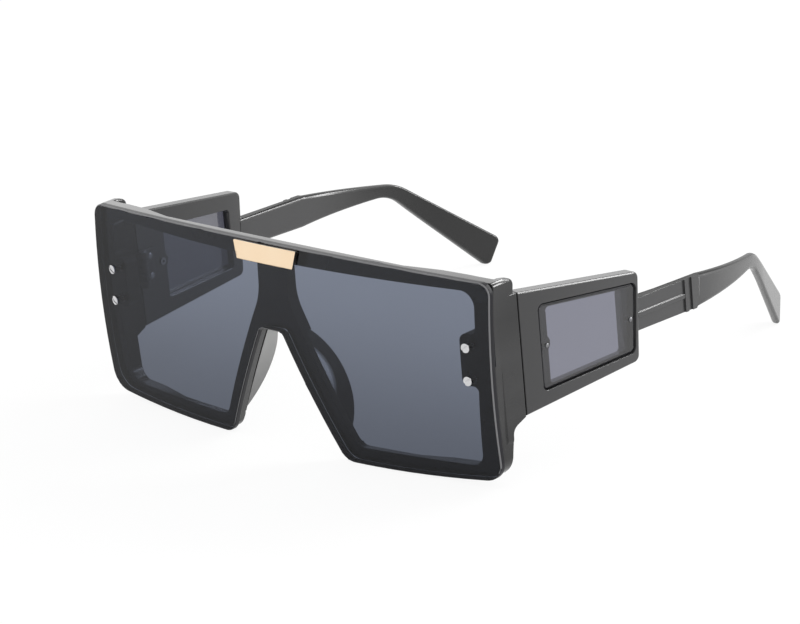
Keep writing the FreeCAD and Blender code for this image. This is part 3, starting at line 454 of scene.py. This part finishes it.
slotted = Template("slotted_screws", ["Head Radius", "Head Height", "Shank Radius", "Shank Length",
                                      "Slot Width", "Slot Depth"])
slot_shape = slotted.node("ShaderNodeCombineXYZ", {}, {
    "X": slotted.size("Head Radius") * 2.4,
    "Y": slotted.size("Slot Width"),
    "Z": slotted.size("Slot Depth") * 2,
})
blade = slotted.node("GeometryNodeMeshCube", {}, {"Size": slot_shape})
head = slotted.without(slotted.domed_head(slotted.size("Head Radius"), slotted.size("Head Height")),
                       slotted.raised(blade, slotted.size("Head Height")))
shank = slotted.turned(slotted.size("Shank Radius"), slotted.size("Shank Length"))
into_head = 0.0001
slotted_screws = slotted.place([head, slotted.raised(shank, into_head - slotted.size("Shank Length") / 2)])

ringed = Template("rings", ["Outer Radius", "Bore Radius", "Height"])
bore = ringed.turned(ringed.size("Bore Radius"), ringed.size("Height") * 2)
outside = ringed.turned(ringed.size("Outer Radius"), ringed.size("Height"))
rings = ringed.place([ringed.raised(ringed.without(outside, bore), ringed.size("Height") * 0.5)])

bright_steel = steel("bright_steel", (0.80, 0.80, 0.81), (0.46, 0.46, 0.47), 0.12)
lens_turn = math.radians(8.797)
slot_turn = math.radians(40)
above_lens = 0.00005
nut_depth = 0.00685
screw_spots = []
nut_spots = []
for way in (1, -1):
    outward = Vector((way * math.sin(lens_turn), -math.cos(lens_turn), 0))
    for across, back, high in ((0.0673, -0.070907, 0.0399), (0.0673, -0.071062, 0.0307)):
        seat = Vector((way * across, back, high))
        screw_spots.append((seat + above_lens * outward, outward, way * slot_turn))
        nut_spots.append((seat - nut_depth * outward, outward, 0))
lens_screws = set_out("lens_screws", slotted_screws, bright_steel, {
    "Head Radius": 0.0013, "Head Height": 0.0006, "Shank Radius": 0.0007, "Shank Length": 0.007,
    "Slot Width": 0.0005, "Slot Depth": 0.00052}, screw_spots)
lens_nuts = set_out("lens_nuts", rings, bright_steel, {
    "Outer Radius": 0.0014, "Bore Radius": 0.00075, "Height": 0.0013}, nut_spots)
corners = [f"{side}_{level}" for side in ("left", "right") for level in ("upper", "lower")]
for piece, kind in ((lens_screws, "lens_screw"), (lens_nuts, "lens_nut")):
    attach(piece, "front")
    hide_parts(*[f"{kind}_{corner}" for corner in corners])


# Brow plate: a thin stamped trapezoid of champagne gold metal with a satin face and dark edges, glued
# over the middle of the brow.

gold = Finish("champagne_gold")
brushing = gold.cloud(700, 4, stretch=(1, 1, 12))
wear = gold.cloud(120, 3)
champagne = gold.show(gold.node("ShaderNodeBsdfPrincipled", {}, {
    "Base Color": gold.between(wear, (0.96, 0.74, 0.51), (0.99, 0.80, 0.58)),
    "Metallic": 1.0,
    "Roughness": 0.24 + 0.12 * brushing,
    "Normal": gold.relief(brushing, 0.12),
}))
plate_edge = black_plastic("plate_edge", (0.012, 0.011, 0.010), (0.03, 0.026, 0.02), 0.3)
plate = eased_copy("brow_trim", "brow_plate", lambda edge: 0.00015, [champagne, plate_edge],
                   flatter_than=0.02, choose=sheet_finish, rounded_finish=0)
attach(plate, "front")
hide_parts("brow_plate")


# Temples: one black moulding each, a wide panel with a sunk window, a ribbed stem with two bars and a
# well-rounded ear end that drops and turns in behind the ear. The plastic is painted paler towards the ear as
# light, its inner faces painted darker at the ear end and on the panel as shade, and the underside of the
# bend carries a painted highlight. The tops of the stem and ear end are a duller, darker copy, painted shade
# that pales towards the ear.

stem_start = -0.0118
bars_start = 0.0062
ear_start = 0.0152


def by_rivet(place, reach):
    """Whether a place is near one of the rivets of the side lens."""
    along = min(abs(place.y + 0.0480), abs(place.y + 0.0161))
    return along < reach and 0.028 < place.z < 0.040


def temple_ease(edge):
    """Soft on the ear end and inside the stem, medium round the panel, crisp on the rib and in the window."""
    soft, medium, fine, crisp = 0.0011, 0.0006, 0.0002, 0.00015
    panel_front, panel_back, panel_height = -0.0555, -0.0345, 0.0345
    place = middle(edge)
    inner_side = any(face.normal.x * place.x < -0.6 * abs(place.x) for face in edge.link_faces)
    if place.y > ear_start or inner_side and place.y > stem_start:
        return soft
    if place.y > bars_start:
        return 0
    if place.y > stem_start:
        return crisp
    outwards = Vector((0, place.y - panel_back, place.z - panel_height))
    rims = [face for face in edge.link_faces if abs(face.normal.x) < 0.7]
    on_outline = rims and all(face.normal.dot(outwards) > 0 for face in rims)
    if on_outline and place.y > panel_front:
        return medium
    return 0 if by_rivet(place, 0.0036) else fine


def temple_finish(face):
    """1 for the top of the stem and of the ear end, which carry painted shade, 0 for the rest."""
    place = face.calc_center_median()
    above_rib = place.y > bars_start or place.z > 0.034
    return int(face.normal.z > 0.8 and place.y > stem_start and above_rib)


temple_grey = Finish("temple_black")
flow = temple_grey.flow_marks()
marks = temple_grey.fine_marks()


def turned_to(axis, way, start, end):
    """Rises from 0 to 1 as a face turns to one of the temple's axes."""
    normal = temple_grey.node("ShaderNodeTexCoord", output="Normal")
    tilt = temple_grey.node("ShaderNodeSeparateXYZ", {}, {"Vector": normal}, output=axis)
    return temple_grey.node("ShaderNodeMapRange", {}, {
        "Value": tilt * way, "From Min": start, "From Max": end})


inwards = 1 - 2 * temple_grey.along("X", -0.001, 0.001)
inner = turned_to("X", inwards, 0.1, 0.6)
on_ear = temple_grey.along("Y", 0.0, 0.06)
on_panel = 1 - temple_grey.along("Y", -0.02, -0.008)
at_bend = temple_grey.along("Y", 0.04, 0.05) * temple_grey.along("Z", 0.012, 0.035)
# Painted highlight: faces at the bend that turn forwards and not inwards are a pale grey.
bend_highlight = (1 - inner) * turned_to("Y", -1, 0.1, 0.5) * at_bend
# Painted light: the outer colour pales from the front of the panel to the ear, with the real flow marks in
# it.
panel_painted_light = temple_grey.between(temple_grey.along("Y", -0.062, -0.008) + 0.2 * flow - 0.1,
                                 (0.026, 0.026, 0.027), (0.044, 0.044, 0.045))
outer_painted_light = temple_grey.between(temple_grey.along("Y", 0.006, 0.034), panel_painted_light, (0.070, 0.070, 0.070))
# Painted shade: faces turned inwards darken at the ear end and, less, on the panel.
inner_painted_shade = temple_grey.between(inner * (on_ear + 0.35 * on_panel), outer_painted_light, (0.012, 0.012, 0.012))
temple_black = temple_grey.show(temple_grey.node("ShaderNodeBsdfPrincipled", {}, {
    "Base Color": temple_grey.between(bend_highlight, inner_painted_shade, (0.16, 0.16, 0.16)),
    "Roughness": 0.15 + 0.06 * flow + 0.04 * marks,
    "Normal": temple_grey.relief(marks, 0.06),
}))

# Painted shade: the tops of the stem and ear end are a duller, darker copy of the plastic, paling towards the
# ear as painted light.
top_shade = Finish("temple_top")
sheen = top_shade.flow_marks()
temple_top = top_shade.show(top_shade.node("ShaderNodeBsdfPrincipled", {}, {
    "Base Color": top_shade.between(top_shade.along("Y", 0.014, 0.046),
                                   (0.013, 0.013, 0.013), (0.085, 0.085, 0.085)),
    "Roughness": 0.35 + 0.10 * sheen,
    "Specular IOR Level": 0.12,
    "Normal": top_shade.relief(top_shade.fine_marks(), 0.06),
}))
for side in ("left", "right"):
    temple = eased_copy(f"temple_moulding_{side}", f"temple_{side}", temple_ease, [temple_black, temple_top],
                        steps=4, choose=temple_finish)
    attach(temple, f"temple_{side}")
    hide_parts(f"temple_{side}")


# Side lenses: flat plates of the same tinted plastic, dropped into the temples' recesses over the windows.
# They look bluer and paler than the shield because they are thinner; the right one is painted denser as
# shade, and the dark broad bevel round each plate is the painted shade of the recess walls.

thin_tint = Finish("side_tint")
mottle = thin_tint.cloud(160, 3)
clear_pane = thin_tint.node("ShaderNodeBsdfTransparent", {}, {"Color": (0.435, 0.44, 0.498)})
tinted_pane = thin_tint.node("ShaderNodeBsdfPrincipled", {}, {
    "Base Color": thin_tint.between(mottle, (0.05, 0.05, 0.055), (0.07, 0.07, 0.078)),
    "Roughness": 0.08 + 0.06 * mottle,
    "Specular IOR Level": 0.4,
})
# Painted shade: the right side lens is mixed denser.
right_pane_shade = thin_tint.node("ShaderNodeMath", {"operation": "LESS_THAN"}, {
    0: thin_tint.coordinate("X"), 1: 0.0})
pane_body = thin_tint.node("ShaderNodeMixShader", {}, {
    0: 0.02 + 0.03 * mottle + 0.32 * right_pane_shade, 1: clear_pane, 2: tinted_pane})
pane_facing = thin_tint.node("ShaderNodeLayerWeight", {}, {"Blend": 0.5}, output="Facing")
pane_coating = thin_tint.node("ShaderNodeBsdfGlossy", {}, {"Color": (1, 1, 1), "Roughness": 0.06})
side_tint = thin_tint.show(thin_tint.node("ShaderNodeMixShader", {}, {
    0: 0.78 * pane_facing ** 2, 1: pane_body, 2: pane_coating}))


def side_ease(edge):
    """A broad bevel round the plate, whose dark colour is the painted shade of the recess walls, a fine one
    round its rivet holes.
    """
    return 0.0001 if by_rivet(middle(edge), 0.0016) else 0.0006


for name in ("left", "right"):
    side_pane = eased_copy(f"side_pane_{name}", f"side_lens_{name}", side_ease, [side_tint, lens_wall],
                           choose=lambda face: 0 if abs(face.normal.x) > 0.75 else 1, rounded_finish=1)
    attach(side_pane, f"temple_{name}")
    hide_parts(f"side_lens_{name}")


# Side rivets: two small steel rivets through each side lens and its temple, with domed heads outside and
# rings rolled over on the inside.

domed = Template("domed_rivets", ["Head Radius", "Head Height", "Shank Radius", "Shank Length"])
rivet_shank = domed.turned(domed.size("Shank Radius"), domed.size("Shank Length"))
domed_rivets = domed.place([domed.domed_head(domed.size("Head Radius"), domed.size("Head Height")),
                            domed.raised(rivet_shank, into_head - domed.size("Shank Length") / 2)])
splay = math.radians(4)
joint_across = 0.0749
joint_back = -0.05774


def at_joint(way, outward, back, high):
    """A point given from a temple's joint, in metres: outward from its outer face, back and high."""
    return Vector((way * (joint_across + outward * math.cos(splay) + back * math.sin(splay)),
                   joint_back - outward * math.sin(splay) + back * math.cos(splay), high))


dull_steel = steel("dull_steel", (0.26, 0.26, 0.27), (0.18, 0.18, 0.19), 0.3)
for name, way in (("left", 1), ("right", -1)):
    outward = Vector((way * math.cos(splay), -math.sin(splay), 0))
    places = ((0.0098, 0.0347), (0.0417, 0.0324))
    pane_face, temple_inside = -0.00035, -0.00405
    side_rivets = set_out(f"side_rivets_{name}", domed_rivets, dull_steel, {
        "Head Radius": 0.0006, "Head Height": 0.0003, "Shank Radius": 0.0005, "Shank Length": 0.0037,
    }, [(at_joint(way, pane_face, back, high), outward, 0) for back, high in places])
    side_rings = set_out(f"side_rings_{name}", rings, dull_steel, {
        "Outer Radius": 0.0011, "Bore Radius": 0.0004, "Height": 0.00035,
    }, [(at_joint(way, temple_inside, back, high), -outward, 0) for back, high in places])
    for piece in (side_rivets, side_rings):
        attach(piece, f"temple_{name}")
    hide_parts(f"side_rivet_{name}_front", f"side_rivet_{name}_rear")


# Hinges: two blackened steel leaves a side, riveted to the lug and to the temple, with five knuckles on one
# slotted pivot screw.

black_steel = Finish("black_steel")
bluing = black_steel.cloud(700, 4)
rubbed = black_steel.cloud(2400, 3)
blackened = black_steel.show(black_steel.node("ShaderNodeBsdfPrincipled", {}, {
    "Base Color": black_steel.between(bluing, (0.030, 0.030, 0.032), (0.055, 0.055, 0.058)),
    "Metallic": 0.55,
    "Roughness": 0.36 + 0.12 * rubbed,
    "Normal": black_steel.relief(rubbed, 0.10),
}))
hinge_height = 0.0353
leaf_depth = -0.005
pivot_depth, pivot_top = -0.00575, 0.04055
pivot_turn = math.radians(25)
leaf_rivet = {"Head Radius": 0.0009, "Head Height": 0.0003, "Shank Radius": 0.0005, "Shank Length": 0.0028}
front_spots = []
pivot_spots = []
for name, way in (("left", 1), ("right", -1)):
    inward = Vector((-way * math.cos(splay), math.sin(splay), 0))
    for half, body in (("front", "front"), ("temple", f"temple_{name}")):
        leaf = eased_copy(f"{half}_leaf_{name}", f"hinge_{half}_leaf_{name}", lambda edge: 0.00012,
                          [blackened])
        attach(leaf, body)
        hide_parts(f"hinge_{half}_leaf_{name}")
    leaf_spots = [(at_joint(way, leaf_depth, back, hinge_height + rise), inward, 0)
                  for back in (-0.0039, 0.0039) for rise in (-0.003, 0.003)]
    front_spots += leaf_spots[:2]
    temple_rivets = set_out(f"temple_leaf_rivets_{name}", domed_rivets, dull_steel, leaf_rivet,
                            leaf_spots[2:])
    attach(temple_rivets, f"temple_{name}")
    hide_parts(f"hinge_temple_rivets_{name}")
    pivot_spots.append((at_joint(way, pivot_depth, 0, pivot_top), Vector((0, 0, 1)), way * pivot_turn))
front_rivets = set_out("front_leaf_rivets", domed_rivets, dull_steel, leaf_rivet, front_spots)
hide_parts("hinge_front_rivets_left", "hinge_front_rivets_right")
pivot_screws = set_out("pivot_screws", slotted_screws, dull_steel, {
    "Head Radius": 0.0013, "Head Height": 0.0006, "Shank Radius": 0.0007, "Shank Length": 0.01045,
    "Slot Width": 0.0004, "Slot Depth": 0.0003}, pivot_spots)
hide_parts("hinge_screw_left", "hinge_screw_right")
for piece in (front_rivets, pivot_screws):
    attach(piece, "front")


# Studio: a white floor, an even white surround, a soft box and a long strip lamp behind and above, and the
# camera, which looks slightly down on the wearer's left front.

floor_mesh = bpy.data.meshes.new("floor")
floor_mesh.from_pydata([(-6, -6, 0), (6, -6, 0), (6, 6, 0), (-6, 6, 0)], [], [(0, 1, 2, 3)])
floor = bpy.data.objects.new("floor", floor_mesh)
bpy.context.scene.collection.objects.link(floor)
pale = Finish("pale_floor")
seen = (pale.node("ShaderNodeLightPath", output="Is Camera Ray")
        + pale.node("ShaderNodeLightPath", output="Is Glossy Ray")
        + pale.node("ShaderNodeLightPath", output="Is Transmission Ray"))
matte = pale.node("ShaderNodeBsdfDiffuse", {}, {"Color": (0.9, 0.9, 0.9)})
white = pale.node("ShaderNodeEmission", {}, {"Color": (1, 1, 1), "Strength": 1.0})
pale_floor = pale.show(pale.node("ShaderNodeMixShader", {}, {0: 0.9 * seen, 1: matte, 2: white}))
floor_mesh.materials.append(pale_floor)

world = bpy.data.worlds.new("surround")
world.use_nodes = True
bpy.context.scene.world = world
world.node_tree.nodes["Background"].inputs["Color"].default_value = (1, 1, 1, 1)
world.node_tree.nodes["Background"].inputs["Strength"].default_value = 1.0

studio_centre = Vector((0.0, 0.0, 0.02))


def soft_box(name, spot, along, size, power):
    """A rectangular lamp that looks at the middle of the studio, with its first side along a direction."""
    lamp = bpy.data.lights.new(name, "AREA")
    lamp.shape = "RECTANGLE"
    lamp.size, lamp.size_y = size
    lamp.energy = power
    item = bpy.data.objects.new(name, lamp)
    away = (Vector(spot) - studio_centre).normalized()
    across = Vector(along)
    across = (across - across.dot(away) * away).normalized()
    item.matrix_world = Matrix((across, away.cross(across), away)).transposed().to_4x4()
    item.location = spot
    bpy.context.scene.collection.objects.link(item)


soft_box("back_box", (-0.65, 0.68, 0.42), (1, 1, 0), (0.7, 0.5), 1.0)
soft_box("edge_strip", (0.42, 0.62, 0.44), (-0.748, 0, 0.663), (1.0, 0.12), 7.0)

wide, tall = 800, 624
focal_length = 4024.180
optical_axis = (443.931, 319.165)
aim = Vector((0.02571, -0.03456, 0.029394))
distance = 1.109159
turn, lift, roll = (math.radians(angle) for angle in (43.65349, 19.04470, -5.00642))
towards = Vector((math.sin(turn) * math.cos(lift), -math.cos(turn) * math.cos(lift), math.sin(lift)))
level = (-towards).cross(Vector((0, 0, 1))).normalized()
upright = level.cross(-towards)
right = math.cos(roll) * level + math.sin(roll) * upright
up = -math.sin(roll) * level + math.cos(roll) * upright
optics = bpy.data.cameras.new("camera")
optics.sensor_width = 36
optics.lens = focal_length / wide * optics.sensor_width
optics.shift_x = (wide / 2 - optical_axis[0]) / wide
optics.shift_y = (optical_axis[1] - tall / 2) / wide
optics.clip_start, optics.clip_end = 0.05, 50
camera = bpy.data.objects.new("camera", optics)
bpy.context.scene.collection.objects.link(camera)
placing = Matrix((right, up, towards)).transposed().to_4x4()
placing.translation = aim + towards * distance
camera.matrix_world = placing
bpy.context.scene.camera = camera
bpy.context.scene.view_settings.view_transform = "Standard"
